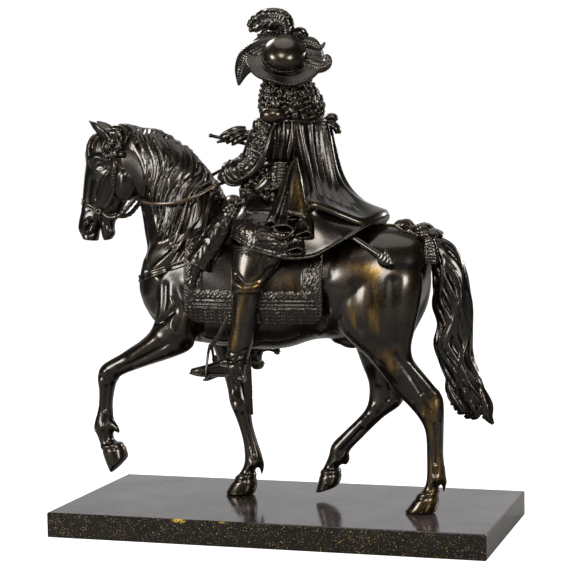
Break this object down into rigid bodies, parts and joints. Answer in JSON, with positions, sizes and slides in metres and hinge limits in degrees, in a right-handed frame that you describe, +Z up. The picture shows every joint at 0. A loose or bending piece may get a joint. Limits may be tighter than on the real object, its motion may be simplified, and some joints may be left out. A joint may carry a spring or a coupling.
{
  "type": "equestrian statuette",
  "caption": "Dark bronze statuette of a cloaked rider with a plumed hat and a baton on a walking horse, on a polished stone plinth that stands on its flat underside.",
  "frame": {"origin": "centre of the plinth's underside", "axes": "+Z up; the horse heads towards -X and its left side faces -Y"},
  "size_m": [0.454, 0.217, 0.5328],
  "materials": {
    "bronze": "waxed dark brown-black bronze patina, rubbed through to golden brown on the high spots",
    "reins": "brown brass, satin",
    "stone": "polished dark grey-brown granite with fine pale and golden speckles"
  },
  "bodies": {
    "root": {"plinth": "stone", "horse": "bronze", "rider": "bronze", "baton": "bronze", "scabbard": "bronze", "left_rein": "reins", "right_rein": "reins", "left_stirrup": "bronze", "right_stirrup": "bronze"}
  },
  "joints": []
}
